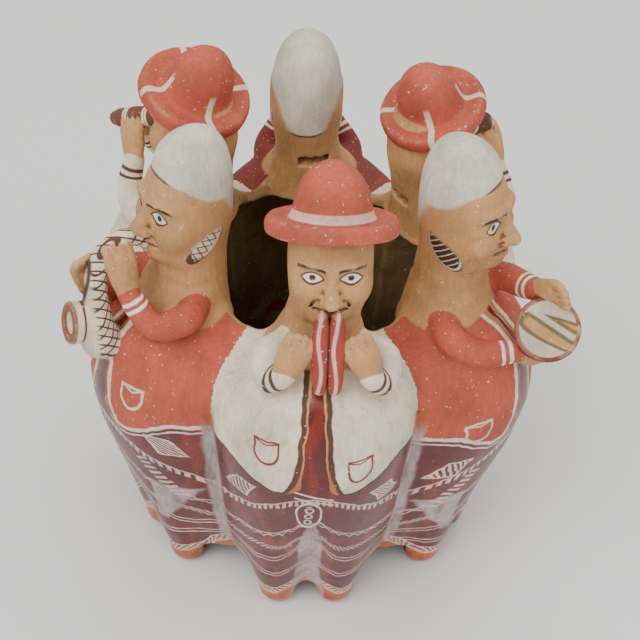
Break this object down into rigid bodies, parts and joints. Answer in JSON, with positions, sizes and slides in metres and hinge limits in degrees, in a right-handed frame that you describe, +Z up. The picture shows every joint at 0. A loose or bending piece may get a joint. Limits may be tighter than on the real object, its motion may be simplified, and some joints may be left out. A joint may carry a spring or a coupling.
{
  "type": "terracotta figure group",
  "caption": "Open fired-clay bowl whose wall is a ring of standing musicians side by side, heads and arms free above the rim, on short feet.",
  "frame": {"origin": "on the ground under the middle of the bowl", "axes": "+Z up, -Y towards the panpipe player"},
  "size_m": [0.2216, 0.2178, 0.2421],
  "materials": {
    "fired_clay": "fired clay with brick-red, cream and brown slip paint, matt above and slightly glossy below the waist"
  },
  "bodies": {
    "root": {"musicians_bowl": "fired_clay"}
  },
  "joints": []
}
